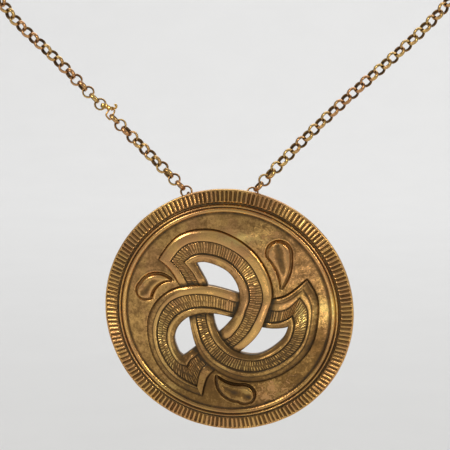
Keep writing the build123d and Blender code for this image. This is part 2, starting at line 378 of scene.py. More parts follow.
clasp_ring_points = [
    (3.58, -0.88), (4.18, -1.32), (4.34, -2.15), (4.07, -2.95), (3.70, -3.80),
    (3.07, -4.50), (2.42, -4.02), (1.88, -3.15), (2.34, -2.20), (2.96, -1.35),
]
clasp_ring_wire_radius = 0.27
clasp_ring_steps = 80
clasp_ring_sides = 12
clasp_wire_patina = 0.1

# Where the medallion hangs
swing_axis = (0.0, -110.0, -106.0)
lean = math.radians(6.16)

dome_radius = (field_radius ** 2 + dome_rise ** 2) / (2 * dome_rise)


def hung(flat):
    """Flat places to the shared frame in metres: stood up about x, hung from the loops, and leant."""
    x, y, h = np.moveaxis(np.asarray(flat, float), -1, 0)
    out = -(h + loop_depth)
    up = y - loop_height
    depth = swing_axis[1] + out * math.cos(lean) - up * math.sin(lean)
    height = swing_axis[2] + out * math.sin(lean) + up * math.cos(lean)
    return np.stack([x + swing_axis[0], depth, height], axis=-1) * MM


def dome(x, y):
    """Height of the field: a shallow sphere through the field's edge, raised at its centre."""
    return field_edge_height + dome_rise - dome_radius + np.sqrt(dome_radius ** 2 - x ** 2 - y ** 2)


def ease(value, low, high):
    """0 at low and 1 at high, with level ends: 3 t squared less 2 t cubed."""
    share = np.clip((value - low) / (high - low), 0, 1)
    return share * share * (3 - 2 * share)


def window(value, rise, fall):
    """0, then 1 between the end of a rise and the start of a fall, each with level ends, then 0 again."""
    return ease(value, *rise) * (1 - ease(value, *fall))


def bevelled(share):
    """Height of a worn bevel: a quarter round at its foot and an even slope, 1 high at a share of 1."""
    share = np.clip(share, 0, 1)
    foot = np.sqrt(1 - (1 - np.clip(share / bevel_foot_share, 0, 1)) ** 2)
    return bevel_foot_height * foot + (1 - bevel_foot_height) * share


def spline(knots, values, places):
    """A natural cubic spline: the bends at the knots solve the usual three-term rows, then spans are read."""
    values = np.asarray(values, float)
    steps = np.diff(knots)
    count = len(knots)
    rows = np.eye(count)
    sides = np.zeros((count, values.shape[1]))
    for k in range(1, count - 1):
        rows[k, k - 1:k + 2] = steps[k - 1], 2 * (steps[k - 1] + steps[k]), steps[k]
        sides[k] = 6 * ((values[k + 1] - values[k]) / steps[k] - (values[k] - values[k - 1]) / steps[k - 1])
    bends = np.linalg.solve(rows, sides)
    span = np.clip(np.searchsorted(knots, places, side="right") - 1, 0, count - 2)
    step = steps[span][:, None]
    before = (knots[span + 1] - places)[:, None] / step
    after = (places - knots[span])[:, None] / step
    curve = (before ** 3 - before) * bends[span] + (after ** 3 - after) * bends[span + 1]
    return before * values[span] + after * values[span + 1] + curve * step ** 2 / 6


def lengths_along(points):
    """Running length along a row of points."""
    steps = np.linalg.norm(np.diff(points, axis=0), axis=1)
    return np.concatenate([[0.0], np.cumsum(steps)])


def rounded(points, radius, steps, share_most):
    """A closed outline whose corners are quadratic curves that start and end within a radius of them.

    On a short side they keep to a share of its length.
    """
    points = np.asarray(points, float)
    made = []
    for k, corner in enumerate(points):
        ends = []
        for other in (points[k - 1], points[(k + 1) % len(points)]):
            length = np.linalg.norm(other - corner)
            ends.append(corner + (other - corner) / length * min(radius, share_most * length))
        for share in np.linspace(0, 1, steps):
            made.append(ends[0] * (1 - share) ** 2 + corner * 2 * share * (1 - share) + ends[1] * share ** 2)
    return np.array(made)


def grid_faces(rows, columns, closed_rows):
    """Four-sided faces of a grid whose columns close on themselves, and whose rows may."""
    row = np.arange(rows if closed_rows else rows - 1)[:, None]
    column = np.arange(columns)[None, :]
    next_row = (row + 1) % rows
    next_column = (column + 1) % columns
    corners = [row * columns + column, row * columns + next_column,
               next_row * columns + next_column, next_row * columns + column]
    return np.stack(np.broadcast_arrays(*corners), axis=-1).reshape(-1, 4)


def smooth_mesh(name, points, faces):
    """A mesh of points and faces, shaded smooth."""
    mesh = bpy.data.meshes.new(name)
    mesh.from_pydata(points, [], faces)
    mesh.polygons.foreach_set("use_smooth", np.ones(len(mesh.polygons), bool))
    return mesh


def linked(name, data):
    """A new object of some data, in the scene."""
    made = bpy.data.objects.new(name, data)
    bpy.context.scene.collection.objects.link(made)
    return made


def closed_surface(points, recess, closed_rows):
    """Points, recess and outward faces of a grid, rows by columns. Open rows get a flat fan at each end."""
    rows, columns = points.shape[:2]
    flat = points.reshape(-1, 3)
    worn = np.broadcast_to(recess, (rows, columns)).reshape(-1)
    faces = grid_faces(rows, columns, closed_rows).tolist()
    if not closed_rows:
        first, last = len(flat), len(flat) + 1
        flat = np.vstack([flat, points[0].mean(axis=0), points[-1].mean(axis=0)])
        worn = np.concatenate([worn, [worn[0], worn[-1]]])
        base = (rows - 1) * columns
        for k in range(columns):
            after = (k + 1) % columns
            faces.append((first, after, k))
            faces.append((last, base + k, base + after))
    if signed_volume(flat, faces) < 0:
        faces = [face[::-1] for face in faces]
    return flat, worn, faces


def dress(name, grids, material, body, slot, node):
    """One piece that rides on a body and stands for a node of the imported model.

    Each of its grids is points in metres, a recess from 0 to 1, and whether the rows close.
    """
    points, recess, faces = [], [], []
    for grid in grids:
        flat, worn, sides = closed_surface(*grid)
        size = sum(map(len, points))
        faces += [[corner + size for corner in face] for face in sides]
        points.append(flat)
        recess.append(worn)
    points = np.vstack(points)
    mesh = smooth_mesh(name, points.tolist(), faces)
    marks = {"recess": np.concatenate(recess)}
    marks.update({label: patch_values(points, patches) for label, patches in surface_patches.items()})
    for label, values in marks.items():
        attribute = mesh.attributes.new(label, "FLOAT", "POINT")
        attribute.data.foreach_set("value", values.astype(np.float32))
    mesh.materials.append(material)
    mesh.update()
    made = linked(name, mesh)
    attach(made, body)
    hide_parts(node)


def signed_volume(points, faces):
    """Volume under the four-sided faces, as cones from the middle, negative if the faces turn inward."""
    centre = points.mean(axis=0)
    fours = np.array([face for face in faces if len(face) == 4])
    a, b, c, d = (points[fours[:, k]] - centre for k in range(4))
    total = np.einsum("ij,ij->i", a, np.cross(b, c)).sum() + np.einsum("ij,ij->i", a, np.cross(c, d)).sum()
    return total / 6


def patch_values(points, patches):
    """Strength of the patches at points in metres: soft ovals with the lean undone, weaker on the rim."""
    across = points[:, 0] / MM - swing_axis[0]
    back = points[:, 1] / MM - swing_axis[1]
    rise = points[:, 2] / MM - swing_axis[2]
    up = loop_height + rise * math.cos(lean) - back * math.sin(lean)
    total = sum(
        strength * np.exp(-((across - x) / reach_x) ** 2 - ((up - y) / reach_y) ** 2)
        for x, y, reach_x, reach_y, strength in patches
    )
    on_rim = ease(np.hypot(across, up), *rim_patch_radii)
    return np.clip(total, 0, 1) * (1 - (1 - rim_patch_share) * on_rim)


def waver(angle, counts, seed):
    """A repeating waver about 0: a few sines round the circle, their phases from a fixed seed."""
    phases = np.random.default_rng(seed).uniform(0, 2 * math.pi, len(counts))
    return sum(np.sin(count * angle + phase) for count, phase in zip(counts, phases)) / len(counts)


def rim_surface():
    """The rim: its outline turned about the axis, with ribs that stand between rounded grooves."""
    outline = rounded(rim_outline, rim_rounding, rim_corner_steps, rim_corner_share_most)
    dense = [outline[0]]
    for start, end in zip(outline, np.roll(outline, -1, axis=0)):
        steps = int(np.clip(np.linalg.norm(end - start) / rim_side_step, 1, rim_side_steps_most))
        dense += [start + (end - start) * k / steps for k in range(1, steps + 1)]
    outline = np.array(dense[:-1])
    angle = np.arange(rim_columns) * 2 * math.pi / rim_columns
    radius, height = outline[:, 0][:, None], outline[:, 1][:, None]
    turn = angle[None, :] * rib_count / (2 * math.pi)
    turn = turn + rib_pitch_drift * waver(angle, *rib_pitch_waves)[None, :]
    from_crest = np.abs(turn - np.round(turn)) * 2
    groove = ease(from_crest, *rib_side_shares)
    front = height > rim_front_height
    band = ease(radius, rib_first_radius, rib_first_radius + rib_first_fade)
    band = band * (1 - ease(radius, rib_last_radius - rib_last_fade, rib_last_radius)) * front
    depth = rib_depth * (1 + rib_depth_drift * waver(angle, *rib_depth_waves)[None, :])
    lift = rim_height_drift * waver(angle, *rim_height_waves)[None, :] * front
    edge = rim_edge_drift * waver(angle, *rim_edge_waves)[None, :]
    h = height - depth * groove * band + lift
    r = radius + edge * ease(radius, *rim_edge_radii)
    lines = sum(
        amount * np.exp(-((radius - place) / width) ** 2) for place, width, amount in rim_dark_lines
    )
    foot = np.exp(-((from_crest - rib_foot_share) / rib_foot_width) ** 2)
    worn = np.clip(band * (rib_groove_patina * groove + rib_foot_patina * foot) + lines * front, 0, 1)
    flat = np.stack(np.broadcast_arrays(r * np.cos(angle), r * np.sin(angle), h), axis=-1)
    return hung(flat), worn, True


def arc(first, middle, last, shares):
    """Points of a circle's arc through three places: its centre lies equally far from all three."""
    chords = 2 * np.array([middle - first, last - first])
    sides = np.array([middle @ middle - first @ first, last @ last - first @ first])
    centre = np.linalg.solve(chords, sides)
    radius = np.linalg.norm(first - centre)
    turn = [math.atan2(*(place - centre)[::-1]) for place in (first, middle, last)]
    sweep = (turn[2] - turn[0]) % (2 * math.pi)
    if (turn[1] - turn[0]) % (2 * math.pi) > sweep:
        sweep -= 2 * math.pi
    angles = turn[0] + sweep * shares
    return centre + radius * np.stack([np.cos(angles), np.sin(angles)], axis=-1)


def drop_sides(corners, count):
    """Both sides of a drop from its tip to the middle of its head, as circle arcs through the corners."""
    tip, outer, outer_shoulder, head, inner_shoulder, inner = np.array(corners) * disc_radius
    shares = np.linspace(0, 1, drop_arc_steps)
    around = arc(outer_shoulder, head, inner_shoulder, shares)
    half = len(shares) // 2
    sides = []
    for side in (
        np.vstack([arc(tip, outer, outer_shoulder, shares), around[1:half]]),
        np.vstack([arc(inner_shoulder, inner, tip, shares)[::-1], around[half:-1][::-1]]),
    ):
        run = lengths_along(side)
        places = np.linspace(0, 1, count) ** drop_row_crowding * run[-1]
        sides.append(np.stack([np.interp(places, run, side[:, k]) for k in range(2)], axis=-1))
    return sides


def drop_surface(corners):
    """A drop: sections from side to side, set in from its sides, each an arch with a hollow along its middle.

    The arch is the root of 1 less the cube of the distance from the middle. A plain foot closes it below.
    """
    outer, inner = drop_sides(corners, drop_rows)
    outer, inner = outer[1:-1], inner[1:-1]
    centre = (outer.mean(axis=0) + inner.mean(axis=0)) / 2
    outer = centre + (outer - centre) * drop_length_share
    inner = centre + (inner - centre) * drop_length_share
    width = np.linalg.norm(inner - outer, axis=1)[:, None]
    margin = np.clip(drop_inset / width, 0, drop_inset_share_most)
    over = (1 - np.cos(np.linspace(0, math.pi, drop_columns))) / 2
    share = np.concatenate([over, drop_foot_shares])[None, :]
    place = outer[:, None, :] + (margin + share * (1 - 2 * margin))[..., None] * (inner - outer)[:, None, :]
    x, y = place[..., 0], place[..., 1]
    from_middle = np.abs(2 * share - 1)
    arch = np.sqrt(1 - from_middle ** 3)
    size = np.clip(width / drop_full_width, 0, 1) ** drop_swell
    broad = ease(width, *drop_hollow_widths)
    hollow = drop_hollow * np.exp(-(from_middle / drop_hollow_reach) ** 2) * broad
    height = dome(x, y) + drop_height * size * arch - hollow
    edges = [0, drop_columns - 1]
    height[:, drop_columns:] = dome(x, y)[:, drop_columns:] - drop_foot_depth
    height[:, edges] = dome(x, y)[:, edges] - drop_edge_depth
    worn = drop_patina * np.exp(-(from_middle / drop_patina_reach) ** 2) * broad
    worn[:, edges] = drop_edge_patina
    return hung(np.stack([x, y, height], axis=-1)), worn, False


def from_outlines(x, y, outlines):
    """Distance of each point from the nearest closed outline, and whether it lies inside one."""
    nearest = np.full(x.shape, far_away)
    inside = np.zeros(x.shape, bool)
    for outline in outlines:
        gap = np.full(x.shape, far_away)
        crossings = np.zeros(x.shape, int)
        for start, end in zip(outline, np.roll(outline, -1, axis=0)):
            side = end - start
            share = ((x - start[0]) * side[0] + (y - start[1]) * side[1]) / max(side @ side, tiny)
            share = np.clip(share, 0, 1)
            gap = np.minimum(gap, np.hypot(x - start[0] - share * side[0], y - start[1] - share * side[1]))
            spans = (start[1] > y) != (end[1] > y)
            rise = side[1] if abs(side[1]) > tiny else tiny
            crossings += spans & (x < start[0] + (y - start[1]) / rise * side[0])
        nearest = np.minimum(nearest, gap)
        inside |= crossings % 2 == 1
    return nearest, inside


def closed_outline(outer, inner):
    """The closed outline between two edges: along the outer one and back along the inner one."""
    return np.vstack([outer, inner[::-1]])


def field_surface():
    """The field: the dome from the ring inward, with a moat and lip round each drop, and the hollow back.

    Depths follow the distance from the nearest drop or arm, and the ring's foot is a soft line at one radius.
    """
    angle = np.arange(field_columns) * 2 * math.pi / field_columns
    count = len(field_inner_shares)
    knots = np.arange(-spline_overlap, count + spline_overlap)
    inner_shares = np.array(field_inner_shares)[knots % count][:, None]
    hidden = spline(knots * 2 * math.pi / count, inner_shares, angle)[:, 0] * disc_radius
    shares = np.linspace(0, 1, field_rows)[:, None]
    radius = field_outer_radius + (hidden[None, :] - field_outer_radius) * shares
    x, y = radius * np.cos(angle), radius * np.sin(angle)
    drop_outlines = [closed_outline(*drop_sides(corners, drop_outline_points)) for corners in drops]
    gap, inside = from_outlines(x, y, drop_outlines)
    outside = np.where(inside, 0.0, gap)
    moat = 1 - ease(outside, moat_start, moat_width)
    lip = lip_height * np.exp(-((outside - moat_width - lip_width) / lip_width) ** 2)
    arm_outlines = [closed_outline(*arm_lines(arm, arm_outline_points)[:2]) for arm in arms.values()]
    gap, inside = from_outlines(x, y, arm_outlines)
    trench = 1 - ease(np.where(inside, 0.0, gap), trench_start, trench_width)
    beaten = beaten_height * sum(
        waver(x * across + y * up, counts, seed) for across, up, counts, seed in beaten_wavers
    )
    front = dome(x, y) - moat_depth * moat - trench_depth * trench + lip
    front = front + beaten * ease(field_radius - radius, 0, beaten_fade)
    foot = np.exp(-((radius - ring_foot_radius) / ring_foot_width) ** 2)
    front = front - ring_foot_depth * foot
    back_shares = np.linspace(1, 0, field_back_rows)[:, None]
    back_radius = field_outer_radius + (hidden[None, :] - field_outer_radius) * back_shares
    back_x, back_y = back_radius * np.cos(angle), back_radius * np.sin(angle)
    back = dome(back_x, back_y) - plate_thickness
    worn = field_film + moat_patina * moat + trench_patina * trench
    worn = np.clip(worn + ring_foot_patina * foot - lip_polish * lip, 0, 1)
    flat = np.concatenate([
        np.stack([x, y, front], axis=-1),
        np.stack([back_x, back_y, back], axis=-1),
    ])
    worn = np.concatenate([worn, np.full(back.shape, back_patina)])
    return hung(np.swapaxes(flat, 0, 1)), np.swapaxes(worn, 0, 1), True


def arm_lines(stations, count):
    """Outer and inner edge of an arm as splines, its channel's shares, and the length along its middle."""
    table = np.array(stations, float)
    table[:, :4] *= disc_radius
    run = lengths_along((table[:, :2] + table[:, 2:4]) / 2)
    places = np.linspace(0, run[-1], count)
    lines = spline(run, table, places)
    shares = np.stack([np.interp(places, run, table[:, k]) for k in (4, 5)], axis=-1)
    return lines[:, :2], lines[:, 2:4], shares, places


def evenly(values, along):
    """Values given at even steps from 0 to 1, read in between."""
    return np.interp(along, np.linspace(0, 1, len(values)), values)


def nearness(x, y, arm):
    """How far points lie from the middle line of an arm, in half widths of that arm."""
    outer, inner, _, _ = arm_lines(arm, arm_middle_points)
    middle, half = (outer + inner) / 2, np.linalg.norm(outer - inner, axis=1) / 2
    best = np.full(x.shape, far_away)
    inner_part = slice(crossing_margin, -crossing_margin)
    for (mx, my), reach in zip(middle[inner_part], half[inner_part]):
        best = np.minimum(best, np.hypot(x - mx, y - my) / reach)
    return best


def section_shares(bevel, first, last, line):
    """Where the columns of an arm's sections stand across it, crowded at the bevels and incised lines."""
    return np.concatenate([
        bevel * np.array(outer_bevel_steps),
        bevel + (first - line - bevel) * np.linspace(0, 1, outer_border_columns),
        first + line * np.array(first_line_steps),
        first + line + (last - first - 2 * line) * np.linspace(0, 1, channel_columns),
        last + line * np.array(last_line_steps),
        last + line + (1 - inner_bevel - last - line) * np.linspace(0, 1, inner_border_columns),
        1 - inner_bevel * np.array(inner_bevel_steps) + 0 * first,
    ], axis=1)


def punched_strokes(name, order, run, across, along):
    """Strokes across an arm's channel: sharpened cosines of the running length, in one row or two.

    Draws from a fixed seed move each stroke and make it deep or faint.
    """
    split = evenly(arm_row_splits[name], along)
    rng = np.random.default_rng(stroke_seed + order)
    count = int(run[-1] / stroke_pitch) + stroke_spares
    drift = rng.uniform(-stroke_drift, stroke_drift, count)
    force = rng.uniform(*stroke_force, count)
    from_middle = across - 0.5
    second_row = across > 0.5
    slant = stroke_slant * from_middle + split * row_spread * np.abs(from_middle)
    beat = run[:, None] / stroke_pitch + slant + split * row_shift * second_row
    index = (np.floor(beat).astype(int) + second_row_offset * second_row * (split > row_split_least)) % count
    stroke = 0.5 + 0.5 * np.cos(2 * math.pi * (beat + drift[index]))
    stroke = stroke ** stroke_sharpness * force[index]
    row_gap = 1 - split * np.exp(-(from_middle / row_gap_width) ** 2)
    return stroke * row_gap * window(across, *stroke_ends)


def band_surface(name, order):
    """An arm of the knot: a section swept along its stations.

    Across, each section has a bevel, a rounded border, an incised line, the sunk channel with its strokes,
    and the same again in mirror order. Along, the relief sinks before it passes under an arm and swells
    where it passes over.
    """
    names = list(arms)
    over, under = arms[names[order - 1]], arms[names[(order + 1) % len(names)]]
    outer, inner, marks, run = arm_lines(arms[name], band_stations)
    width = np.linalg.norm(inner - outer, axis=1)[:, None]
    first, last = marks[:, :1], marks[:, 1:]
    along = np.linspace(0, 1, band_stations)[:, None]
    fold = evenly(arm_folds[name], along)
    bevel = outer_bevel + (folded_bevel - outer_bevel) * fold
    line = incised_line_width / width
    share = section_shares(bevel, first, last, line)
    x = outer[:, :1] + share * (inner - outer)[:, :1]
    y = outer[:, 1:] + share * (inner - outer)[:, 1:]

    border = border_height * bevelled(share / bevel) * bevelled((1 - share) / inner_bevel)
    first_border = np.clip((share - bevel) / (first - bevel), 0, 1)
    last_border = np.clip((share - last) / (1 - inner_bevel - last), 0, 1)
    first_arch = 4 * first_border * (1 - first_border)
    last_arch = 4 * last_border * (1 - last_border)
    crown = outer_crown * first_arch + inner_crown * last_arch - crown_sink
    across = np.clip((share - first) / (last - first), 0, 1)
    wall = channel_wall * line
    sunk = ease(share, first, first + wall) * (1 - ease(share, last - wall, last))
    incised = np.exp(-((share - first) * width / incised_half_width) ** 2)
    incised = incised + np.exp(-((share - last) * width / incised_half_width) ** 2)
    folded = np.exp(-((share - bevel) * width / incised_half_width) ** 2) * fold
    strokes = punched_strokes(name, order, run, across, along) * sunk

    relief = border + crown * (border > crown_least_height) - channel_depth * sunk + stroke_height * strokes
    relief = relief - incised_depth * (incised + fold_line_share * folded)
    at_over = nearness(x, y, over)
    dip = (1 - ease(at_over, *dip_reach)) * window(along, *dip_along)
    lift = (1 - ease(nearness(x, y, under), *lift_reach)) * window(along, *lift_along)
    relief = relief * (1 - under_dip * dip) + over_lift * lift * border / border_height
    top = dome(x, y) + np.where(relief > 0, relief, relief * share_below_field)

    first_side = (share > bevel) * (share < first) * (1 - first_arch)
    last_side = (share > last) * (1 - last_arch)
    worn = incised_patina * incised + fold_line_patina * folded
    # Painted shade on the folded borders, darker still on their bevels, which darkens the lower arms
    worn = worn + fold * (fold_painted_shade + fold_bevel_painted_shade * (share < bevel))
    worn = worn + sunk * (channel_patina - stroke_polish * strokes)
    worn = worn + outer_border_patina * first_side + inner_border_patina * last_side
    # Painted shadow on the arm where it dips under another
    worn = worn + crossing_painted_shadow * dip * window(at_over, *shadow_reach)
    worn = worn + outer_foot_patina * (1 - bevelled(share / (outer_foot_share * bevel)))
    worn = worn + inner_foot_patina * (1 - bevelled((1 - share) / (inner_foot_share * inner_bevel)))
    worn = np.clip(worn, 0, 1)

    low = dome(x, y) - plate_thickness - layer_gap * (order + 1)
    final = share.shape[1] - 1
    back = np.linspace(final, 0, back_columns).astype(int)
    wall_down = [top[:, -1:] + (low[:, -1:] - top[:, -1:]) * k for k in wall_steps]
    wall_up = [low[:, :1] + (top[:, :1] - low[:, :1]) * k for k in wall_steps]
    walls = len(wall_steps)
    columns = np.concatenate([np.arange(final + 1), [final] * walls, back, [0] * walls])
    height = np.concatenate([top, *wall_down, low[:, back], *wall_up], axis=1)
    place = np.stack([x[:, columns], y[:, columns], height], axis=-1)
    hidden = np.repeat([inner_wall_patina, back_patina, outer_wall_patina], [walls, back_columns, walls])
    worn = np.concatenate([worn, np.tile(hidden, (band_stations, 1))], axis=1)
    return hung(place), worn, False


def loop_surface(x):
    """A wire loop: a round section turned about a line along x, behind the upper edge."""
    turn = np.arange(loop_turns)[:, None] * 2 * math.pi / loop_turns
    round_wire = np.arange(loop_sides)[None, :] * 2 * math.pi / loop_sides
    reach = loop_ring_radius + loop_wire_radius * np.cos(round_wire)
    flat = np.stack(np.broadcast_arrays(
        x + loop_wire_radius * np.sin(round_wire) + 0 * turn,
        loop_height + reach * np.cos(turn),
        -loop_depth + reach * np.sin(turn),
    ), axis=-1)
    return hung(flat), loop_patina, True


def loose_rings(node):
    """Middle and axis of every link of a chain's node, in metres.

    Points that share a place are one. Labels then spread along the edges until each loose ring has a single
    label, and a ring's axis is the direction in which its points spread least.
    """
    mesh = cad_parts[node].data
    places = np.zeros(len(mesh.vertices) * 3, np.float32)
    mesh.vertices.foreach_get("co", places)
    ends = np.zeros(len(mesh.edges) * 2, np.int32)
    mesh.edges.foreach_get("vertices", ends)
    places, same = np.unique(np.round(places.reshape(-1, 3), 6), axis=0, return_inverse=True)
    first, second = same.reshape(-1)[ends.reshape(-1, 2)].T
    labels = np.arange(len(places))
    while True:
        lowest = np.minimum(labels[first], labels[second])
        spread = labels.copy()
        np.minimum.at(spread, first, lowest)
        np.minimum.at(spread, second, lowest)
        spread = spread[spread]
        if np.array_equal(spread, labels):
            break
        labels = spread
    rings = []
    for label in np.unique(labels):
        points = places[labels == label].astype(float)
        middle = (points.min(axis=0) + points.max(axis=0)) / 2
        rings.append((middle, np.linalg.svd(points - middle, full_matrices=False)[2][2]))
    return rings


def across_axis(axis):
    """Two directions square to an axis and to each other, set by the upright one or else by x."""
    helper = np.array([0.0, 0.0, 1.0] if abs(axis[2]) < nearly_upright else [1.0, 0.0, 0.0])
    first = np.cross(axis, helper)
    first /= np.linalg.norm(first)
    return first, np.cross(axis, first)


def link_surfaces(node):
    """Every link of a chain: its section turned about the link's axis."""
    section = np.array(link_section)
    turn = np.arange(link_sides)[:, None, None] * 2 * math.pi / link_sides
    radius, along = section[None, :, :1] * MM, section[None, :, 1:2] * MM
    links = []
    for middle, axis in loose_rings(node):
        first, second = across_axis(axis)
        points = middle + radius * (np.cos(turn) * first + np.sin(turn) * second) + along * axis
        links.append((points, section[None, :, 2], True))
    return links


def clasp_place(points):
    """Places of the clasp to the shared frame in metres: leant back about x and moved to the ring link."""
    x, y, z = np.moveaxis(np.asarray(points, float), -1, 0)
    depth = swing_axis[1] + (ring_link_rise + z) * math.sin(front_lean) + y * math.cos(front_lean)
    height = swing_axis[2] + (ring_link_rise + z) * math.cos(front_lean) - y * math.sin(front_lean)
    return np.stack([x + ring_link_x, depth, height], axis=-1) * MM


def tube(path, upright, half_heights, half_thicknesses, columns, closed):
    """An oval section carried along a path, its long side as near to an upright direction as it can be."""
    if closed:
        ahead = np.roll(path, -1, axis=0) - np.roll(path, 1, axis=0)
    else:
        ahead = np.gradient(path, axis=0)
    ahead /= np.linalg.norm(ahead, axis=1)[:, None]
    tall = upright - ahead * (ahead @ upright)[:, None]
    tall /= np.linalg.norm(tall, axis=1)[:, None]
    wide = np.cross(ahead, tall)
    turn = np.arange(columns) * 2 * math.pi / columns
    return (
        path[:, None, :]
        + (half_heights[:, None] * np.cos(turn))[..., None] * tall[:, None, :]
        + (half_thicknesses[:, None] * np.sin(turn))[..., None] * wide[:, None, :]
    )


def hook_surfaces():
    """The hook: a strip bent round the ring link as an eye, then a wire that bends and ends in a curl.

    The eye is a circle that broadens and rises towards its front. The wire follows a spline to a round end.
    """
    eye = np.array(hook_eye)
    along = np.array(hook_route[0]) - eye
    along /= np.linalg.norm(along)
    side = np.array([0.0, 1.0, 0.0]) - along * along[1]
    side /= np.linalg.norm(side)
    turn = np.arange(hook_eye_steps) * 2 * math.pi / hook_eye_steps
    in_front = ease(hook_eye_front_slant * np.cos(turn) - np.sin(turn), *hook_eye_front_range)
    upright = np.array([0.0, 0.0, 1.0])
    circle = eye + hook_eye_radius * (np.cos(turn)[:, None] * along + np.sin(turn)[:, None] * side)
    circle = circle + hook_eye_lift * in_front[:, None] * upright
    half_heights = hook_eye_half_height + hook_eye_broad * in_front
    half_thicknesses = np.full(hook_eye_steps, hook_eye_half_thickness)
    strip = tube(circle, upright, half_heights, half_thicknesses, hook_sides, closed=True)
    route = np.vstack([eye + along * (hook_eye_radius - hook_start_overlap), hook_route])
    run = lengths_along(route)
    places = np.linspace(0, run[-1], hook_steps)
    path = spline(run, route, places)
    tip = np.sqrt(np.clip((run[-1] - places + hook_tip_blunt) / hook_tip_length, 0, 1))
    half_heights = np.interp(places, run, hook_half_heights) * tip
    half_thicknesses = np.interp(places, run, hook_half_thicknesses) * tip
    wire = tube(path, np.array(hook_upright), half_heights, half_thicknesses, hook_sides, closed=False)
    return [(clasp_place(strip), hook_eye_patina, True), (clasp_place(wire), clasp_wire_patina, False)]


def clasp_ring_surface():
    """The clasp's thin ring: a round wire along a closed smooth line."""
    corners = np.array([(x, 0.0, z) for x, z in clasp_ring_points])
    count = len(corners)
    around = corners[np.arange(-spline_overlap, count + spline_overlap + 1) % count]
    run = lengths_along(around)
    start, end = run[spline_overlap], run[spline_overlap + count]
    places = np.linspace(start, end, clasp_ring_steps + 1)[:-1]
    path = spline(run, around, places)
    radii = np.full(len(path), clasp_ring_wire_radius)
    wire = tube(path, np.array([0.0, 1.0, 0.0]), radii, radii, clasp_ring_sides, closed=True)
    return clasp_place(wire), clasp_wire_patina, True


class Value:
    """One output of a shader node, to be used in ordinary expressions."""

    def __init__(self, tree, socket):
        self.tree = tree
        self.socket = socket

    def node(self, kind, settings, inputs, output=0):
        """Any shader node: its type, its settings, and the values of its inputs by name or number."""
        made = self.tree.nodes.new(kind)
        for name, setting in settings.items():
            setattr(made, name, setting)
        for key, value in inputs.items():
            connect(self.tree, value, made.inputs[key])
        return Value(self.tree, made.outputs[output])

    def maths(self, operation, *others, first=None):
        """A Math node on this value and others, or on a given first value and the others."""
        values = [self if first is None else first, *others]
        return self.node("ShaderNodeMath", {"operation": operation}, dict(enumerate(values)))

    def __add__(self, other):
        return self.maths("ADD", other)

    def __sub__(self, other):
        return self.maths("SUBTRACT", other)

    def __rsub__(self, other):
        return self.maths("SUBTRACT", self, first=other)

    def __mul__(self, other):
        return self.maths("MULTIPLY", other)

    __radd__ = __add__
    __rmul__ = __mul__

    def between(self, low, high):
        """0 up to low and 1 from high on, with a smooth step between them."""
        return self.node(
            "ShaderNodeMapRange", {"interpolation_type": "SMOOTHSTEP"}, {"Value": self, 1: low, 2: high}
        )

    def mixed(self, first, second):
        """The first colour where this value is 0 and the second where it is 1."""
        return self.node("ShaderNodeMix", {"data_type": "RGBA"}, {0: self, 6: first, 7: second}, output=2)


def connect(tree, value, socket):
    """Link a shader value to a socket, or set the socket to a plain number or colour."""
    if isinstance(value, Value):
        tree.links.new(value.socket, socket)
    else:
        socket.default_value = value


class Finish:
    """A material with one shader, and helpers for the values that drive it."""

    def __init__(self, name):
        self.material = bpy.data.materials.new(name)
        self.material.use_nodes = True
        self.tree = self.material.node_tree
        self.shader = self.tree.nodes["Principled BSDF"]
        coordinates = self.tree.nodes.new("ShaderNodeTexCoord")
        self.place = Value(self.tree, coordinates.outputs["Object"])

    def attribute(self, name):
        """A number that the mesh holds at each of its points."""
        return self.place.node("ShaderNodeAttribute", {"attribute_name": name}, {}, output=2)

    def noise(self, size, detail=3.0, roughness=0.55, distortion=0.0, place=None):
        """Noise from 0 to 1 whose features are about a size in millimetres."""
        return self.place.node("ShaderNodeTexNoise", {}, {
            "Vector": place or self.place, "Scale": 1 / (size * MM), "Detail": detail,
            "Roughness": roughness, "Distortion": distortion,
        })

    def stretched(self, scale, turn):
        """Coordinates turned and stretched, for scratches that run one way."""
        return self.place.node("ShaderNodeMapping", {}, {
            "Vector": self.place, "Rotation": turn, "Scale": scale,
        })

    def bump(self, height, strength, distance):
        """A normal tilted by a height of 0 to 1 that stands for a distance in millimetres."""
        return self.place.node("ShaderNodeBump", {}, {
            "Height": height, "Strength": strength, "Distance": distance * MM,
        })

    def set(self, **inputs):
        """Set or link the shader's inputs, with underscores for the spaces in their names."""
        for key, value in inputs.items():
            connect(self.tree, value, self.shader.inputs[key.replace("_", " ")])


def linear(value):
    """The light in a screen value of 0 to 255, by the usual screen curve."""
    value /= 255
    return value / 12.92 if value <= 0.04045 else ((value + 0.055) / 1.055) ** 2.4


def colour(red, green, blue):
    """A colour from screen values of 0 to 255."""
    return (linear(red), linear(green), linear(blue), 1.0)


# Patterns of the worn bronze: size in millimetres, detail, roughness and, where it isn't 0, distortion
cloud_noise = (9.0, 4.0, 0.6)
blotch_noise = (2.6, 5.0, 0.62, 0.4)
dent_noise = (1.7, 4.0, 0.62, 1.0)
grain_noise = (0.7, 3.0, 0.6)
scratch_noise = (0.35, 2.0, 0.5)
fine_noise = (0.22, 2.0, 0.5)
scratch_stretch = (1.0, 1.0, 0.12)
scratch_turn = (0.0, 0.25, 0.0)

# Where each film or colour of the bronze starts and is full, then the gold of bare metal and painted
# highlights and the brown of painted shade
pink_clouds = (0.42, 0.62)
bare_and_highlight_blotches = (0.34, 0.54)
fleck_dents = (0.49, 0.57)
film_wear = (0.1, 0.5)
deep_wear = (0.42, 0.95)
polished_and_highlight_gold = colour(255, 226, 140)
painted_shade_brown = colour(80, 53, 20)

# How much each counts in the wear
blotch_wear = 0.7
grain_wear = 0.5
dent_wear = 1.6
painted_shade_wear = 0.18
bare_and_highlight_wear = 0.35

# How fully each colour covers what lies under it
polish_and_highlight_cover = 0.85
film_cover = 0.85
patina_cover = 0.92
painted_shade_cover = 0.5
fleck_cover = 0.75
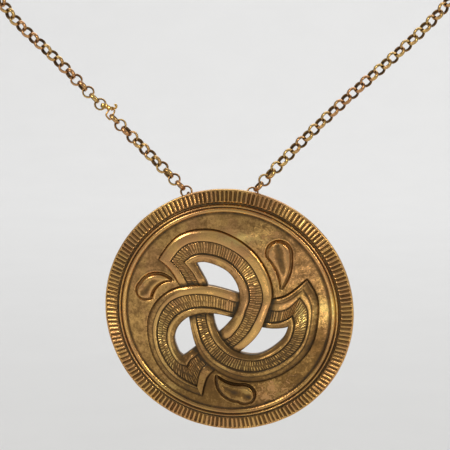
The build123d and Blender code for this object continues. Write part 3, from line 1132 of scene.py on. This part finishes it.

# What patina takes from the metal, and what each adds to the roughness, or takes from it on bare metal and
# painted highlights
patina_dulling = 0.5
film_roughness = 0.07
patina_roughness = 0.22
grain_roughness = 0.12
bare_and_highlight_gloss = 0.08

# Small unevenness: the share of each pattern, then its strength and its height in millimetres
blotch_relief = 0.5
grain_relief = 0.35
fine_relief = 0.14
scratch_relief = 0.25
dent_relief = 2.4
relief_strength = 0.72
relief_height = 0.12


def worn_bronze(name, high, pink, dark, patina, rough, patina_bias=0.0):
    """Old bronze: copper and gold tones on the highs, brown films, and dull patina in what lies deep.

    Wear is the recess, blurred by blotches, grain and dents, less on bare metal and painted highlights and
    more under painted shade.
    It lays first the film and then the patina. Bare metal and painted highlights are a polished gold, beaten
    patches are dented and flecked with pink, and painted shade is browner.
    """
    finish = Finish(name)
    recess, beaten, bare_and_highlight, painted_shade = map(finish.attribute, ("recess", "beaten", "bare_and_highlight", "painted_shade"))
    cloud = finish.noise(*cloud_noise)
    blotch = finish.noise(*blotch_noise)
    grain = finish.noise(*grain_noise)
    fine = finish.noise(*fine_noise)
    scratch = finish.noise(*scratch_noise, place=finish.stretched(scratch_stretch, scratch_turn))
    dents = finish.noise(*dent_noise)
    flecks = (dents * beaten).between(*fleck_dents)
    wear = recess + (blotch - 0.5) * blotch_wear + (grain - 0.5) * grain_wear
    # Painted shade adds to the wear, and bare metal and painted highlights take from it
    wear = wear + (dents - 0.5) * beaten * dent_wear + painted_shade * painted_shade_wear + patina_bias - bare_and_highlight * bare_and_highlight_wear
    film = wear.between(*film_wear)
    deep = wear.between(*deep_wear)
    base = cloud.between(*pink_clouds).mixed(high, pink)
    # Bare metal and painted highlights: a polished gold laid on in blotches
    base = (bare_and_highlight * blotch.between(*bare_and_highlight_blotches) * polish_and_highlight_cover).mixed(base, polished_and_highlight_gold)
    base = (film * film_cover).mixed(base, dark)
    base = (deep * patina_cover).mixed(base, patina)
    # Painted shade browns the lower part of the disc
    base = (painted_shade * painted_shade_cover).mixed(base, painted_shade_brown)
    base = (flecks * fleck_cover).mixed(base, pink)
    roughness = film * film_roughness + deep * patina_roughness + (grain - 0.5) * grain_roughness
    uneven = blotch * blotch_relief + grain * grain_relief + fine * fine_relief
    uneven = uneven + scratch * scratch_relief + dents * beaten * dent_relief
    finish.set(
        Base_Color=base,
        Metallic=1.0 - deep * patina_dulling,
        Roughness=roughness - bare_and_highlight * bare_and_highlight_gloss + rough,
        Normal=finish.bump(uneven, relief_strength, relief_height),
    )
    return finish.material


medallion_bronze = worn_bronze(
    "medallion_bronze_worn",
    high=colour(222, 176, 108),
    pink=colour(208, 158, 104),
    dark=colour(124, 93, 55),
    patina=colour(54, 46, 29),
    rough=0.24,
)
chain_bronze = worn_bronze(
    "chain_bronze_worn",
    high=colour(216, 180, 114),
    pink=colour(202, 152, 106),
    dark=colour(114, 82, 48),
    patina=colour(34, 30, 20),
    rough=0.27,
    patina_bias=0.08,
)
clasp_gilt = worn_bronze(
    "clasp_gilt_worn",
    high=colour(222, 184, 106),
    pink=colour(212, 164, 98),
    dark=colour(134, 98, 52),
    patina=colour(52, 44, 26),
    rough=0.24,
)

# Pieces. All of the medallion's share a material, a body, a slot and the node that they replace
medallion_look = (medallion_bronze, "medallion", "medallion_bronze", "medallion")
dress("medallion_rim", [rim_surface()], *medallion_look)
dress("medallion_field", [field_surface()], *medallion_look)
for order, name in enumerate(arms):
    dress("knot_" + name, [band_surface(name, order)], *medallion_look)
dress("medallion_drops", [drop_surface(corners) for corners in drops], *medallion_look)
dress("medallion_loops", [loop_surface(x) for x in loop_places], *medallion_look)
for node in ("chain_main", "chain_lower"):
    dress(node + "_links", link_surfaces(node), chain_bronze, "chain", "chain_bronze", node)
dress("clasp_hook_strip", hook_surfaces(), clasp_gilt, "chain", "clasp_gilt", "clasp_hook")
dress("clasp_ring_wire", [clasp_ring_surface()], clasp_gilt, "chain", "clasp_gilt", "clasp_ring")

# Camera at the photo's viewing angle, moved so that the disc's centre falls where it does in the photo, with
# its places in millimetres
view_azimuth = math.radians(8.39)
view_elevation = math.radians(9.5)
camera_distance = 700.0
camera_side = -1.08
camera_rise = 25.53
lens = 187.42
towards = Vector((
    math.sin(view_azimuth) * math.cos(view_elevation),
    -math.cos(view_azimuth) * math.cos(view_elevation),
    math.sin(view_elevation),
))
right = Vector((math.cos(view_azimuth), math.sin(view_azimuth), 0))
up = towards.cross(right)
disc_centre = Vector((0, -108.79, -140.07))
eye = (disc_centre + right * camera_side + up * camera_rise + towards * camera_distance) * MM
camera_data = bpy.data.cameras.new("camera")
camera_data.lens = lens
camera_data.clip_start = 0.01
camera_data.clip_end = 20.0
camera = linked("camera", camera_data)
camera.matrix_world = Matrix.Translation(eye) @ Matrix((right, up, towards)).transposed().to_4x4()
bpy.context.scene.camera = camera
bpy.context.scene.view_settings.view_transform = "Standard"

# Floor and backdrop in metres
floor_level = -0.42
floor_front = -4.0
floor_back = 3.0
floor_bend = 1.2
backdrop_height = 3.0
floor_half_width = 4.0
floor_bend_steps = 13
paper_cloud_size = 60.0


def sweep_floor():
    """Floor and backdrop in one sheet: level in front, a quarter circle behind, then upright."""
    turn = np.linspace(0, math.pi / 2, floor_bend_steps)
    bend_back = floor_back - floor_bend + floor_bend * np.sin(turn)
    bend_up = floor_level + floor_bend - floor_bend * np.cos(turn)
    top = (floor_back, floor_level + backdrop_height)
    profile = [(floor_front, floor_level), *zip(bend_back, bend_up), top]
    points = [(x, y, z) for x in (-floor_half_width, floor_half_width) for y, z in profile]
    count = len(profile)
    faces = [(k, count + k, count + k + 1, k + 1) for k in range(count - 1)]
    mesh = smooth_mesh("floor", points, faces)
    paper = Finish("pale_paper")
    paper.set(
        Base_Color=paper.noise(paper_cloud_size, 2.0).mixed(colour(228, 228, 228), colour(232, 232, 232)),
        Roughness=0.9,
    )
    mesh.materials.append(paper.material)
    linked("floor", mesh)


def soft_light(name, place, target, size, power, tint):
    """An area light at a place, turned to face a target, as wide and high as its size says."""
    data = bpy.data.lights.new(name, "AREA")
    data.shape = "RECTANGLE"
    data.size, data.size_y = size
    data.energy = power
    data.color = tint
    made = linked(name, data)
    turn = (Vector(place) - Vector(target)).to_track_quat("Z", "Y")
    made.matrix_world = Matrix.Translation(place) @ turn.to_matrix().to_4x4()


sweep_floor()

# Lights: place, what they face, width and height, all in metres, then watts and tint
target = (0.0, -0.11, -0.14)
soft_light("overhead_light", (0.0, 2.0, 1.9), (0.0, 2.0, -0.42), (3.0, 1.6), 38.0, (1.0, 1.0, 1.0))
soft_light("left_light", (-0.75, -0.8, 0.55), target, (0.35, 0.35), 4.4, (1.0, 0.96, 0.84))
soft_light("right_light", (0.85, -0.6, 0.3), target, (0.1, 0.4), 2.4, (1.0, 0.92, 0.7))
soft_light("low_light", (0.045, -0.41, -0.27), (0.028, -0.11, -0.14), (0.04, 0.06), 0.03, (1.0, 0.93, 0.75))

# Even light from all round
studio_grey = (0.62, 0.62, 0.62, 1.0)
studio_strength = 0.6
world = bpy.data.worlds.new("studio")
world.use_nodes = True
background = world.node_tree.nodes["Background"].inputs
background["Color"].default_value = studio_grey
background["Strength"].default_value = studio_strength
bpy.context.scene.world = world
